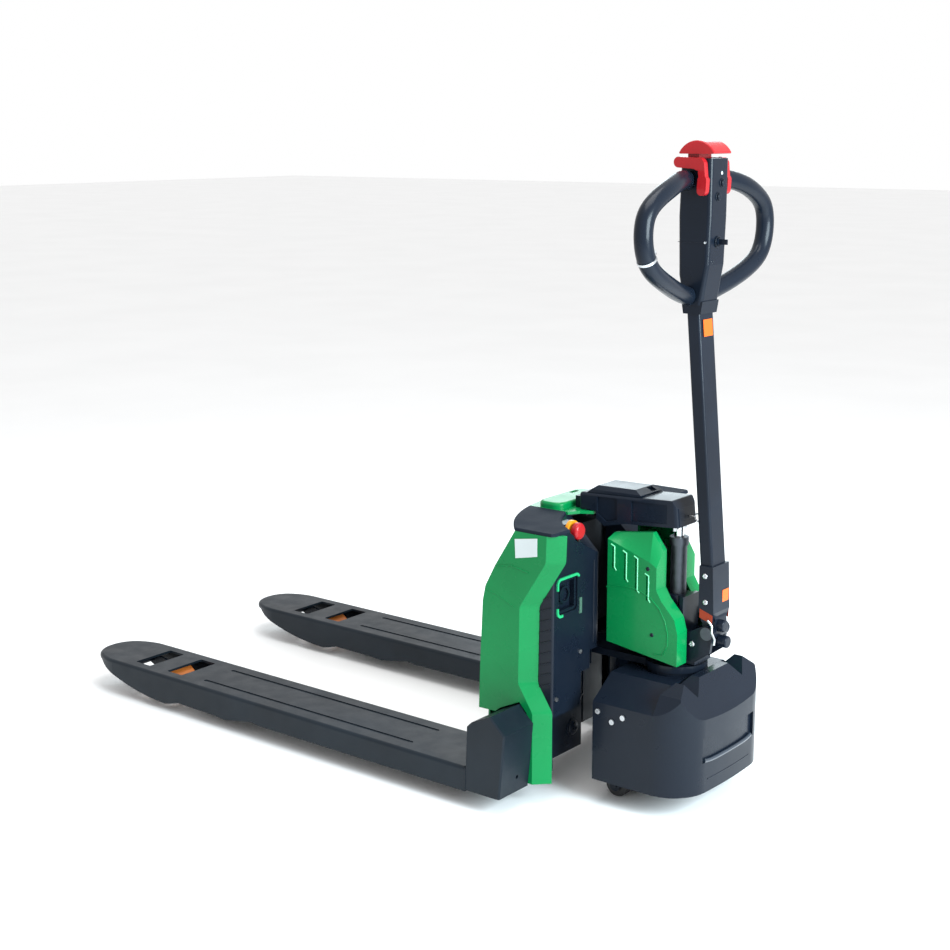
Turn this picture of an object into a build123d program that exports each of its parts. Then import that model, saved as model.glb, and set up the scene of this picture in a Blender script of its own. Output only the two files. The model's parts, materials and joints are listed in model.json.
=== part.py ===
"""Battery pallet truck: two forks on a lifting mast, with a steered drive head and an upright tiller.

Frame: +X from the fork tips to the tiller, +Y across, +Z up. The origin is on the floor, below the
middle of the overall length and width. All sizes are in millimetres, with the forks lowered.
"""
import os
from math import cos, radians, sin
from build123d import *

os.makedirs("parts", exist_ok=True)

# ---- Driving dimensions ----
OVERALL_LENGTH = 1562
TIP_X = -OVERALL_LENGTH / 2
FORK_LENGTH = 1167
HEEL_X = TIP_X + FORK_LENGTH          # front face of the heel brackets
STEER_X = HEEL_X + 268                # steering axis
FORK_WIDTH = 160
OVERALL_WIDTH = 685
FORK_Y = (OVERALL_WIDTH - FORK_WIDTH) / 2
FORK_TOP = 85
FORK_BOTTOM = 35
FORK_WALL = 5
LIFT = 110
ROCKER_ANGLE = 63                     # turn of the rocker and roller frames over the whole lift
SHELL = 4                             # thickness of the plastic covers
RUNNING = 0.05                        # radial clearance of shafts in bores

# ---- Linkage points, in the XZ plane ----
ROLLER_R = 39
ROLLER_WIDTH = 66
TIP_PIVOT = (TIP_X + 92, 62)
ROLLER_AXLE = (TIP_PIVOT[0] + 138, ROLLER_R)
LINK_ARM = (60, -24)                  # from a pivot to the push rod's pin
ROCKER_PIVOT = (HEEL_X - 34, 62)
ROD_TIP = (TIP_PIVOT[0] + LINK_ARM[0], TIP_PIVOT[1] + LINK_ARM[1])
ROD_HEEL = (ROCKER_PIVOT[0] + LINK_ARM[0], ROCKER_PIVOT[1] + LINK_ARM[1])
BASE_ARM_R = LIFT / 2 / sin(radians(ROCKER_ANGLE / 2))
BASE_PIN = (ROCKER_PIVOT[0] + BASE_ARM_R * cos(radians(ROCKER_ANGLE / 2)), ROCKER_PIVOT[1] + LIFT / 2)
BASE_PIN_R = 7
ROCKER_SHAFT_R = 11
ROD_R = 8

# ---- Mast, in X from the heel face ----
MAST_HALF_WIDTH = 248
PANEL_HALF_WIDTH = 219
PANEL_X = HEEL_X + 121
SLOT_HALF_WIDTH = 62                  # central slot that the drive head turns in
CAP_Z = 552
HOOD_HALF_WIDTH = 42

# ---- Drive head, about the steering axis ----
WHEEL_R = 105
WHEEL_WIDTH = 70
COVER_HALF_WIDTH = 165
COVER_REAR = -88
COVER_FRONT = 127
COVER_BULGE = 10                      # bulge of the front wall between its corners
COVER_CORNER_R = 80
COVER_BOTTOM = 50
COVER_SHOULDER_Z = 212
COVER_TOP = 256
SWEEP_R = 191                         # swept radius of the drive cover, with clearance
CROWN_SWEEP_R = 173                   # the same for the cover's front crown
CROWN_Z = 268                         # top of the cover behind its front wall
CREASE_Z = 207                        # crease between the front wall and the slope above it
VALLEY_Z = 238                        # bottom of the two valleys in the crown
RECESS_DEPTH = 6                      # depth of the step in the front wall
KINGPIN_R = 40
RING_Z = 262
RING_HEIGHT = 14
MOTOR_COVER_HALF_WIDTH = 72
CASTER_R = 25
CASTER_AT = (STEER_X - 66, 99)

# ---- Tiller ----
TILLER_PIVOT = (STEER_X + 86, 350)
HANDLE_TUBE_R = 17.5

SIDES = {"near": -1, "far": 1}


def save(piece, label):
    """Label a finished piece and write it under its node name."""
    piece.part.label = label
    export_step(piece.part, f"parts/{label}.step")


def save_pair(near, name):
    """Write the near piece and its mirror image on the far side."""
    with BuildPart() as far:
        mirror(near.part, about=Plane.XZ)
    save(near, f"{name}_near")
    save(far, f"{name}_far")


def side_plane(y):
    """Vertical XZ plane at this y, whose normal points to -Y."""
    return Plane.XZ.offset(-y)


def outline(*points):
    """Filled polygon in the current sketch."""
    with BuildLine() as border:
        Polyline(*points, close=True)
    make_face(border.edges())


def block(x, y, z, mode=Mode.ADD):
    """Box between pairs of limits."""
    with Locations(((x[0] + x[1]) / 2, (y[0] + y[1]) / 2, (z[0] + z[1]) / 2)):
        Box(x[1] - x[0], y[1] - y[0], z[1] - z[0], mode=mode)


def cross_rod(centre, radius, y, mode=Mode.ADD):
    """Round bar along Y through a point of the XZ plane."""
    with BuildSketch(side_plane(y[0])) as profile:
        with Locations(centre):
            Circle(radius)
    extrude(profile.sketch, amount=y[0] - y[1], mode=mode)


def upright(x, y, radius, z, mode=Mode.ADD):
    """Round bar along Z."""
    with BuildSketch(Plane.XY.offset(z[0])) as profile:
        with Locations((x, y)):
            Circle(radius)
    extrude(profile.sketch, amount=z[1] - z[0], mode=mode)


def end_rod(y, z, radius, x, mode=Mode.ADD):
    """Round bar along X."""
    with BuildSketch(Plane.YZ.offset(x[0])) as profile:
        with Locations((y, z)):
            Circle(radius)
    extrude(profile.sketch, amount=x[1] - x[0], mode=mode)


def side_slab(points, y, mode=Mode.ADD):
    """Plate between two values of y with a polygon outline in X and Z."""
    with BuildSketch(side_plane(y[0])) as profile:
        outline(*points)
    extrude(profile.sketch, amount=y[0] - y[1], mode=mode)


def link(start, end, radius, y, mode=Mode.ADD):
    """Flat bar with round ends between two points of the XZ plane."""
    first = Vector(*start)
    last = Vector(*end)
    across = Vector(first.Y - last.Y, last.X - first.X).normalized() * radius
    with BuildSketch(side_plane(y[0])) as profile:
        with Locations(start, end):
            Circle(radius)
        outline(first + across, last + across, last - across, first - across)
    extrude(profile.sketch, amount=y[0] - y[1], mode=mode)


# ================= Forks =================

NOSE_LENGTH = 107
SLOT_SIZE = (50, 105)
SLOT_XS = (TIP_X + 177, TIP_X + 286)
GROOVE_Y = 42
GROOVE_X = (TIP_X + 377, TIP_X + 1000)


def fork_plan(inset):
    """Plan outline of a fork with a rounded nose."""
    half = FORK_WIDTH / 2 - inset
    tip = TIP_X + inset
    shoulder = TIP_X + NOSE_LENGTH
    with BuildLine() as border:
        Polyline((shoulder, half), (HEEL_X, half), (HEEL_X, -half), (shoulder, -half))
        ThreePointArc((shoulder, half), (shoulder - 42 + inset / 2, half - 5), (tip + 32, half * 0.76))
        ThreePointArc((tip + 32, half * 0.76), (tip + 8, half * 0.44), (tip, 0))
        ThreePointArc((tip + 32, -half * 0.76), (tip + 8, -half * 0.44), (tip, 0))
        ThreePointArc((shoulder, -half), (shoulder - 42 + inset / 2, 5 - half), (tip + 32, -half * 0.76))
    make_face(border.edges())


with BuildPart() as fork:
    with BuildSketch(Plane.XY.offset(FORK_TOP)):
        fork_plan(0)
    extrude(amount=-(FORK_TOP - 17))
    fillet(fork.faces().sort_by(Axis.Z)[-1].edges(), 7)
    with BuildSketch(side_plane(-FORK_WIDTH / 2)):
        with BuildLine():
            Polyline((TIP_X - 1, 74), (TIP_X - 1, FORK_TOP), (HEEL_X, FORK_TOP), (HEEL_X, FORK_BOTTOM),
                     (TIP_X + 593, FORK_BOTTOM), (TIP_X + 564, 38), (TIP_X + 529, 32),
                     (TIP_X + 480, 24), (TIP_X + 441, 27), (TIP_X + 326, 28.5), (TIP_X + 299, 21),
                     (TIP_X + 281, 17.5))
            ThreePointArc((TIP_X + 281, 17.5), (TIP_X + 170, 30), (TIP_X + 67, 61))
            Line((TIP_X + 67, 61), (TIP_X + 45, 74))
            Line((TIP_X + 45, 74), (TIP_X - 1, 74))
        make_face()
    extrude(amount=-FORK_WIDTH, mode=Mode.INTERSECT)
    with BuildSketch(Plane.XY):
        fork_plan(FORK_WALL)
    extrude(amount=FORK_TOP - FORK_WALL, mode=Mode.SUBTRACT)
    # The heel end of the channel is open.
    block((HEEL_X - 6, HEEL_X + 1), (FORK_WALL - FORK_WIDTH / 2, FORK_WIDTH / 2 - FORK_WALL),
          (0, FORK_TOP - FORK_WALL), mode=Mode.SUBTRACT)
    with BuildSketch(Plane.XY.offset(FORK_TOP + 1)):
        with Locations(*[(x, 0) for x in SLOT_XS]):
            RectangleRounded(SLOT_SIZE[0], SLOT_SIZE[1], 4)
    extrude(amount=-FORK_WALL - 2, mode=Mode.SUBTRACT)
    # Two pressed grooves stiffen the top plate.
    with BuildSketch(Plane.XY.offset(FORK_TOP - 1.8)):
        with Locations(*[(sum(GROOVE_X) / 2, y) for y in (-GROOVE_Y, GROOVE_Y)]):
            SlotOverall(GROOVE_X[1] - GROOVE_X[0], 9)
    extrude(amount=5, mode=Mode.SUBTRACT)
    # Lugs that carry the roller frame's pivot.
    for side in SIDES.values():
        lug = sorted((side * 47.5, side * 53.5))
        link(TIP_PIVOT, (TIP_PIVOT[0], FORK_TOP - FORK_WALL - 9), 13, lug)
        block((TIP_PIVOT[0] - 13, TIP_PIVOT[0] + 13), lug, (TIP_PIVOT[1], FORK_TOP - FORK_WALL))
    cross_rod(TIP_PIVOT, 8 + RUNNING, (-54, 54), mode=Mode.SUBTRACT)
    # The rocker shaft passes through the inner wall.
    cross_rod(ROCKER_PIVOT, ROCKER_SHAFT_R + 4, (FORK_WIDTH / 2 - 6, FORK_WIDTH / 2 + 1), mode=Mode.SUBTRACT)

# The fork above has its inner wall at +Y, as on the near side.
with BuildPart() as fork_near:
    add(fork.part.moved(Location((0, -FORK_Y, 0))))
save_pair(fork_near, "fork")

# ---- Roller frames, rollers and push rods ----

for name, side in SIDES.items():
    middle = side * FORK_Y
    with BuildPart() as roller_frame:
        for half in (-1, 1):
            plate = sorted((middle + half * 40, middle + half * 46))
            link(TIP_PIVOT, ROLLER_AXLE, 12, plate)
            link(TIP_PIVOT, ROD_TIP, 12, plate)
        cross_rod(TIP_PIVOT, 8, (middle - 56, middle + 56))
        cross_rod(TIP_PIVOT, 13, (middle - 40, middle + 40))
        cross_rod(ROD_TIP, 6, (middle - 58, middle + 58))
        cross_rod(ROLLER_AXLE, 8, (middle - 46, middle + 46))
    save(roller_frame, f"roller_frame_{name}")

    with BuildPart() as roller_core:
        cross_rod(ROLLER_AXLE, 31, (middle - ROLLER_WIDTH / 2, middle + ROLLER_WIDTH / 2))
        cross_rod(ROLLER_AXLE, 14, (middle - 39, middle + 39))
        cross_rod(ROLLER_AXLE, 8 + RUNNING, (middle - 40, middle + 40), mode=Mode.SUBTRACT)
    save(roller_core, f"load_roller_core_{name}")

    with BuildPart() as roller_tyre:
        cross_rod(ROLLER_AXLE, ROLLER_R, (middle - ROLLER_WIDTH / 2, middle + ROLLER_WIDTH / 2))
        fillet(roller_tyre.edges().filter_by(GeomType.CIRCLE), 3)
        cross_rod(ROLLER_AXLE, 31, (middle - 40, middle + 40), mode=Mode.SUBTRACT)
    save(roller_tyre, f"load_roller_tyre_{name}")

    yoke_x = TIP_X + 287
    with BuildPart() as push_rod:
        end_rod(middle, ROD_TIP[1], ROD_R, (yoke_x, ROD_HEEL[0]))
        block((yoke_x - 6, yoke_x + 6), (middle - 57, middle + 57), (ROD_TIP[1] - 9, ROD_TIP[1] + 9))
        for half in (-1, 1):
            bar = sorted((middle + half * 50, middle + half * 57))
            link(ROD_TIP, (yoke_x, ROD_TIP[1]), 9, bar)
        cross_rod(ROD_HEEL, 12, (middle - 7, middle + 7))
        cross_rod(ROD_TIP, 6 + RUNNING, (middle - 58, middle + 58), mode=Mode.SUBTRACT)
        cross_rod(ROD_HEEL, 6 + RUNNING, (middle - 8, middle + 8), mode=Mode.SUBTRACT)
    save(push_rod, f"push_rod_{name}")

# ---- Rocker: a cross shaft with two lower arms for the push rods and two slotted upper arms ----

UPPER_ARM_Y = (37, 45)
UPPER_ARM_REACH = 112
upper_tip = (ROCKER_PIVOT[0] + UPPER_ARM_REACH * cos(radians(ROCKER_ANGLE / 2)),
             ROCKER_PIVOT[1] + UPPER_ARM_REACH * sin(radians(ROCKER_ANGLE / 2)))
slot_start = (ROCKER_PIVOT[0] + 89 * cos(radians(ROCKER_ANGLE / 2)),
              ROCKER_PIVOT[1] + 89 * sin(radians(ROCKER_ANGLE / 2)))
slot_end = (ROCKER_PIVOT[0] + 140 * cos(radians(ROCKER_ANGLE / 2)),
            ROCKER_PIVOT[1] + 140 * sin(radians(ROCKER_ANGLE / 2)))

with BuildPart() as rocker:
    cross_rod(ROCKER_PIVOT, ROCKER_SHAFT_R, (-FORK_Y - 16, FORK_Y + 16))
    for side in SIDES.values():
        arm = sorted((side * UPPER_ARM_Y[0], side * UPPER_ARM_Y[1]))
        link(ROCKER_PIVOT, slot_start, ROCKER_SHAFT_R, arm)
        link(slot_start, upper_tip, 17, arm)
        link(slot_start, slot_end, BASE_PIN_R + 2.8,
             sorted((side * (UPPER_ARM_Y[0] - 1), side * (UPPER_ARM_Y[1] + 1))), mode=Mode.SUBTRACT)
        for half in (-1, 1):
            cheek = sorted((side * FORK_Y + half * 8, side * FORK_Y + half * 14))
            link(ROCKER_PIVOT, ROD_HEEL, 12, cheek)
        cross_rod(ROD_HEEL, 6, (side * FORK_Y - 16, side * FORK_Y + 16))
    with BuildSketch(side_plane(-60)):
        with Locations(ROCKER_PIVOT):
            Circle(200)
            Circle(UPPER_ARM_REACH, mode=Mode.SUBTRACT)
    extrude(amount=-120, mode=Mode.SUBTRACT)
save(rocker, "rocker")

with BuildPart() as rocker_bushes:
    for side in SIDES.values():
        wall = sorted((side * (FORK_Y - FORK_WIDTH / 2 - 5), side * (FORK_Y - FORK_WIDTH / 2 + FORK_WALL)))
        cross_rod(ROCKER_PIVOT, ROCKER_SHAFT_R + 4, wall)
    cross_rod(ROCKER_PIVOT, ROCKER_SHAFT_R + RUNNING, (-FORK_Y, FORK_Y), mode=Mode.SUBTRACT)
save(rocker_bushes, "rocker_bushes")

# ================= Steel mast =================

BRACKET_TOP = 203
bracket_profile = [(0, 38), (0, FORK_TOP + 0.2), (3.5, 170), (15, 181), (62, BRACKET_TOP), (97, 171),
                   (90, 94), (84, 38)]

with BuildPart() as heel_bracket:
    with BuildSketch(side_plane(-OVERALL_WIDTH / 2)):
        outline(*[(HEEL_X + x, z) for x, z in bracket_profile])
    extrude(amount=-(FORK_WIDTH - 2))
    chamfer(heel_bracket.faces().sort_by(Axis.Y)[0].edges().filter_by(
        lambda e: e.center().Z > 100), 3)
    block((HEEL_X - 1, HEEL_X + 76), (-OVERALL_WIDTH / 2 + 6, -OVERALL_WIDTH / 2 + FORK_WIDTH - 8),
          (0, FORK_TOP), mode=Mode.SUBTRACT)
    block((HEEL_X + 8, HEEL_X + 70), (-OVERALL_WIDTH / 2 + 6, -OVERALL_WIDTH / 2 + FORK_WIDTH - 8),
          (FORK_TOP - 1, 168), mode=Mode.SUBTRACT)
    block((HEEL_X + 70, HEEL_X + 100), (-MAST_HALF_WIDTH - 1, 0), (0, BRACKET_TOP + 1), mode=Mode.SUBTRACT)
    end_rod(-FORK_Y - 26, 70, 4, (HEEL_X + 70, HEEL_X + 100), mode=Mode.SUBTRACT)
save_pair(heel_bracket, "heel_bracket")

BRACKET_INNER = OVERALL_WIDTH / 2 - FORK_WIDTH + 2
BEAM_TOP = 142
ARM_SPACE = 52                        # half width left open for the rocker arms and the slew yoke
with BuildPart() as cross_frame:
    block((HEEL_X - 52, HEEL_X - 46), (-177, 177), (40, BEAM_TOP))
    for side in SIDES.values():
        block((HEEL_X - 46, HEEL_X + 66), sorted((side * ARM_SPACE, side * 182)), (BEAM_TOP - 6, BEAM_TOP))
        block((HEEL_X, HEEL_X + 66), sorted((side * 176, side * (BRACKET_INNER - 0.5))), (95, BEAM_TOP))
    block((HEEL_X - 46, HEEL_X - 40), (-176, 176), (90, BEAM_TOP - 6))
save(cross_frame, "cross_frame")

UPRIGHT_Y = (118, 124)
with BuildPart() as mast_frame:
    for side in SIDES.values():
        post = sorted((side * UPRIGHT_Y[0], side * UPRIGHT_Y[1]))
        block((HEEL_X - 10, HEEL_X + 46), post, (BEAM_TOP, 544))
    block((HEEL_X, HEEL_X + 46), (-UPRIGHT_Y[1], UPRIGHT_Y[1]), (544, 551))
    block((HEEL_X + 40, HEEL_X + 66), (-30, 30), (544, 582))
    block((HEEL_X + 50, STEER_X + 12), (-30, 30), (560, 582))
    block((HEEL_X + 70, STEER_X - 16), (-24, 24), (564, 576), mode=Mode.SUBTRACT)
save(mast_frame, "mast_frame")

ROD_PISTON_R = 10
with BuildPart() as piston_rod:
    upright(STEER_X, 0, ROD_PISTON_R, (302, 560))
    upright(STEER_X, 0, ROD_PISTON_R + 2, (552, 560))
save(piston_rod, "piston_rod")

with BuildPart() as battery_pack:
    block((HEEL_X - 14, HEEL_X + 42), (-112, 112), (300, 520))
    fillet(battery_pack.edges().filter_by(Axis.Z), 6)
save(battery_pack, "battery_pack")

with BuildPart() as controller:
    block((HEEL_X - 10, HEEL_X + 40), (-100, 100), (160, 270))
    for count in range(9):
        block((HEEL_X - 18, HEEL_X - 9), (-92 + 22 * count, -86 + 22 * count), (166, 264))
save(controller, "motor_controller")

# ================= Covers of the mast =================

front_edge = [(50, CAP_Z), (2, 476), (-22, 431), (-29, 399), (-35, 280)]
rear_edge = [(94, 42), (94, 190), (59, 244), (62, 402), (124, 498), (126, CAP_Z)]
CHAMFER = 28
under_edge = [(-39, 174), (2, 175), (15, 185), (62, 207), (80, 188), (80, 42)]


ROUNDED_BENDS = [190, 244, 402, 498]       # heights of the bends in the rear edge that are rounded
BEND_R = 26


def cover_side(chamfer, inset=0):
    """Side outline of the green cover: front edge, round the heel bracket, rounded rear edge."""
    rear = [(x + chamfer, z) for x, z in rear_edge]
    outline(*[(HEEL_X + x, z) for x, z in front_edge + under_edge + rear])
    if inset:
        offset(amount=-inset, kind=Kind.INTERSECTION)


with BuildPart() as side_cover:
    with BuildSketch(side_plane(-MAST_HALF_WIDTH)):
        cover_side(0)
    with BuildSketch(side_plane(-PANEL_HALF_WIDTH - 1)):
        cover_side(CHAMFER)
    loft(ruled=True)
    slanted = side_cover.edges().filter_by(lambda e: abs(e.length - CHAMFER * 2 ** 0.5) < 3)
    bends = slanted.filter_by(lambda e: e.center().X > HEEL_X + 40)
    for height in ROUNDED_BENDS:
        bend = bends.filter_by(lambda e: abs(e.center().Z - height) < 2)
        fillet(bend, BEND_R)
    with BuildSketch(side_plane(-MAST_HALF_WIDTH + SHELL)):
        cover_side(0, SHELL)
    with BuildSketch(side_plane(-PANEL_HALF_WIDTH - 1)):
        cover_side(CHAMFER, SHELL)
    loft(ruled=True, mode=Mode.SUBTRACT)
save_pair(side_cover, "side_cover")

# ---- Front cover: a bowed wall between the side covers ----

FRONT_HALF_WIDTH = 216
TONGUE_HALF_WIDTH = 78
# Height, X at the outer edges and X in the middle of the wall.
front_sections = [(143, -40, -52), (280, -35, -52), (399, -28, -52), (431, -21, -52), (476, 3, -52),
                  (550, 46, -51)]
with BuildPart() as front_cover:
    for z, edge, middle in front_sections:
        with BuildSketch(Plane.XY.offset(z)):
            with BuildLine():
                ThreePointArc((HEEL_X + edge, -FRONT_HALF_WIDTH), (HEEL_X + middle, 0),
                              (HEEL_X + edge, FRONT_HALF_WIDTH))
                Line((HEEL_X + edge, FRONT_HALF_WIDTH), (HEEL_X + edge + SHELL, FRONT_HALF_WIDTH))
                ThreePointArc((HEEL_X + edge + SHELL, FRONT_HALF_WIDTH), (HEEL_X + middle + SHELL, 0),
                              (HEEL_X + edge + SHELL, -FRONT_HALF_WIDTH))
                Line((HEEL_X + edge + SHELL, -FRONT_HALF_WIDTH), (HEEL_X + edge, -FRONT_HALF_WIDTH))
            make_face()
    loft(ruled=True)
save(front_cover, "front_cover")

# ---- Top: dark caps on both sides of a raised green tongue ----

SCOOP_R = 235                         # rear edge of the top, about the steering axis


def scoop(extra, top, mode):
    """Conical scoop in the rear of the mast, wide at the top, about the steering axis."""
    low = 452
    with BuildSketch(Plane.XZ) as profile:
        outline((STEER_X, low), (STEER_X + 147 + low - 470 + extra, low),
                (STEER_X + SCOOP_R + extra + (top - 557), top), (STEER_X, top))
    revolve(profile.sketch, axis=Axis((STEER_X, 0, 0), (0, 0, 1)), mode=mode)


with BuildPart() as top_plate:
    with BuildSketch(Plane.XY.offset(CAP_Z + 0.2)) as cap_plan:
        with BuildLine() as border:
            ThreePointArc((HEEL_X + 50, 0.5 - MAST_HALF_WIDTH), (HEEL_X - 51, 0),
                          (HEEL_X + 50, MAST_HALF_WIDTH - 0.5))
            Polyline((HEEL_X + 50, MAST_HALF_WIDTH - 0.5), (HEEL_X + 136, MAST_HALF_WIDTH - 0.5),
                     (HEEL_X + 142, MAST_HALF_WIDTH - 8), (HEEL_X + 142, 8 - MAST_HALF_WIDTH),
                     (HEEL_X + 136, 0.5 - MAST_HALF_WIDTH), (HEEL_X + 50, 0.5 - MAST_HALF_WIDTH))
        make_face()
        with Locations((STEER_X, 0)):
            Circle(SCOOP_R - 4, mode=Mode.SUBTRACT)
    extrude(amount=6)
    chamfer(top_plate.faces().sort_by(Axis.Z)[-1].edges(), 2)

with BuildPart() as top_cap:
    add(top_plate.part)
    waste = (-TONGUE_HALF_WIDTH - 0.3, 260)
    block((HEEL_X - 80, HEEL_X + 160), waste, (540, 570), mode=Mode.SUBTRACT)
save_pair(top_cap, "top_cap")

with BuildPart() as top_tongue:
    add(top_plate.part)
    for side in SIDES.values():
        waste = sorted((side * TONGUE_HALF_WIDTH, side * 260))
        block((HEEL_X - 80, HEEL_X + 160), waste, (540, 570), mode=Mode.SUBTRACT)
    # Neck on both sides of the hood.
    for side in SIDES.values():
        with BuildSketch(Plane.XY.offset(CAP_Z + 0.2)) as neck:
            outline((HEEL_X + 37, side * 31), (HEEL_X + 37, side * TONGUE_HALF_WIDTH),
                    (HEEL_X + 54, side * 77), (HEEL_X + 68, side * 54), (HEEL_X + 92, side * 40),
                    (HEEL_X + 92, side * 31))
        extrude(neck.sketch, amount=6)
    with BuildSketch(Plane.XY.offset(CAP_Z + 3)) as tongue_plan:
        with Locations((HEEL_X + 4, 0)):
            RectangleRounded(60, 2 * TONGUE_HALF_WIDTH - 4, 22)
    extrude(tongue_plan.sketch, amount=16)
    fillet(top_tongue.faces().sort_by(Axis.Z)[-1].edges(), 6)
    block((HEEL_X - 16, HEEL_X - 6), (24, 50), (566, 575), mode=Mode.SUBTRACT)
save(top_tongue, "top_tongue")

# ---- Rear panel: two trays beside the central slot, a scooped top and a recessed lower band ----

TRAY_BOTTOM = 177
TRAY_DEPTH = 36
BAND_X = HEEL_X + 71
BAND_BOTTOM = 62
ESTOP = (-129, 538)
ESTOP_X = HEEL_X + 97


def tray(inset):
    """Solid of one tray, shrunk all round by the inset."""
    y_range = (-PANEL_HALF_WIDTH + inset, -SLOT_HALF_WIDTH - inset)
    block((PANEL_X - TRAY_DEPTH, PANEL_X - inset), y_range, (TRAY_BOTTOM + inset, CAP_Z - inset))
    block((HEEL_X + 52, PANEL_X - TRAY_DEPTH), y_range, (455 + inset, CAP_Z - inset))


with BuildPart() as tray_hollow:
    tray(SHELL)
    scoop(SHELL, 600, Mode.SUBTRACT)

with BuildPart() as rear_panel:
    tray(0)
    fillet(rear_panel.edges().filter_by(Axis.Z).sort_by(Axis.X)[-2:], 5)
    scoop(0, 600, Mode.SUBTRACT)
    add(tray_hollow.part, mode=Mode.SUBTRACT)
    pocket = (-PANEL_HALF_WIDTH + SHELL, -SLOT_HALF_WIDTH - SHELL)
    block((PANEL_X - TRAY_DEPTH - 1, PANEL_X - TRAY_DEPTH + 12), pocket, (TRAY_BOTTOM + SHELL, 455),
          mode=Mode.SUBTRACT)
    mirror(about=Plane.XZ)
    end_rod(*ESTOP, 24, (ESTOP_X - 22, ESTOP_X))
    block((ESTOP_X - 23, ESTOP_X + 1), (-160, -90), (CAP_Z, 570), mode=Mode.SUBTRACT)
    for side in SIDES.values():
        band = sorted((side * 205, side * ARM_SPACE))
        block((BAND_X, BAND_X + SHELL), band, (BAND_BOTTOM, TRAY_BOTTOM + 90))
        block((BAND_X, PANEL_X - 8), sorted((side * 209, side * 205)), (BAND_BOTTOM, TRAY_BOTTOM + 4))
    # Wheel arch: the space that the drive cover sweeps when it steers.
    upright(STEER_X, 0, SWEEP_R, (BAND_BOTTOM - 1, 248), mode=Mode.SUBTRACT)
    upright(STEER_X, 0, CROWN_SWEEP_R, (247, CROWN_Z + 18), mode=Mode.SUBTRACT)
    # Opening of the charging socket, and the bore of the emergency stop.
    with BuildSketch(Plane.YZ.offset(PANEL_X + 1)) as socket_hole:
        with Locations((-170, 418)):
            RectangleRounded(66, 70, 8)
    extrude(socket_hole.sketch, amount=-SHELL - 2, mode=Mode.SUBTRACT)
    end_rod(*ESTOP, 9, (ESTOP_X - 23, ESTOP_X + 1), mode=Mode.SUBTRACT)
    end_rod(*ESTOP, 21, (ESTOP_X, ESTOP_X + 60), mode=Mode.SUBTRACT)
save(rear_panel, "rear_panel")

with BuildPart() as charge_socket:
    block((PANEL_X - 24, PANEL_X - 3), (-202, -138), (384, 452))
    fillet(charge_socket.edges().filter_by(Axis.X), 9)
    block((PANEL_X - 14, PANEL_X), (-196, -144), (390, 446), mode=Mode.SUBTRACT)
    end_rod(-170, 418, 17, (PANEL_X - 18, PANEL_X - 7))
    end_rod(-170, 418, 13, (PANEL_X - 12, PANEL_X), mode=Mode.SUBTRACT)
save(charge_socket, "charge_socket")

with BuildPart() as socket_trim:
    with BuildSketch(Plane.YZ.offset(PANEL_X + 0.1)) as trim:
        with Locations((-170, 418)):
            RectangleRounded(76, 80, 12)
            RectangleRounded(66, 70, 8, mode=Mode.SUBTRACT)
    extrude(trim.sketch, amount=3)
    block((PANEL_X - 1, PANEL_X + 5), (-188, -100), (370, 449), mode=Mode.SUBTRACT)
    block((PANEL_X - 1, PANEL_X + 5), (-220, -100), (398, 434), mode=Mode.SUBTRACT)
save(socket_trim, "socket_trim")

with BuildPart() as charge_gauge:
    block((PANEL_X + 0.1, PANEL_X + 2), (-131, -123), (372, 404))
save(charge_gauge, "charge_gauge")

with BuildPart() as panel_screws:
    for side in SIDES.values():
        for y, z in ((-126, 292), (-207, 214), (-207, 480)):
            end_rod(side * y, z, 4.5, (PANEL_X + 0.1, PANEL_X + 3))
save(panel_screws, "panel_screws")

with BuildPart() as estop_collar:
    end_rod(*ESTOP, 20, (ESTOP_X + 0.1, ESTOP_X + 7))
    end_rod(*ESTOP, 8.8, (ESTOP_X - 20, ESTOP_X + 6))
    end_rod(*ESTOP, 5 + RUNNING, (ESTOP_X - 12, ESTOP_X + 8), mode=Mode.SUBTRACT)
save(estop_collar, "estop_collar")

with BuildPart() as estop_button:
    end_rod(*ESTOP, 5, (ESTOP_X - 4, ESTOP_X + 16))
    end_rod(*ESTOP, 17, (ESTOP_X + 14, ESTOP_X + 27))
    fillet(estop_button.faces().sort_by(Axis.X)[-1].edges(), 7)
save(estop_button, "estop_button")

# ---- Hood over the nose beam, and the battery lid on it ----

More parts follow.
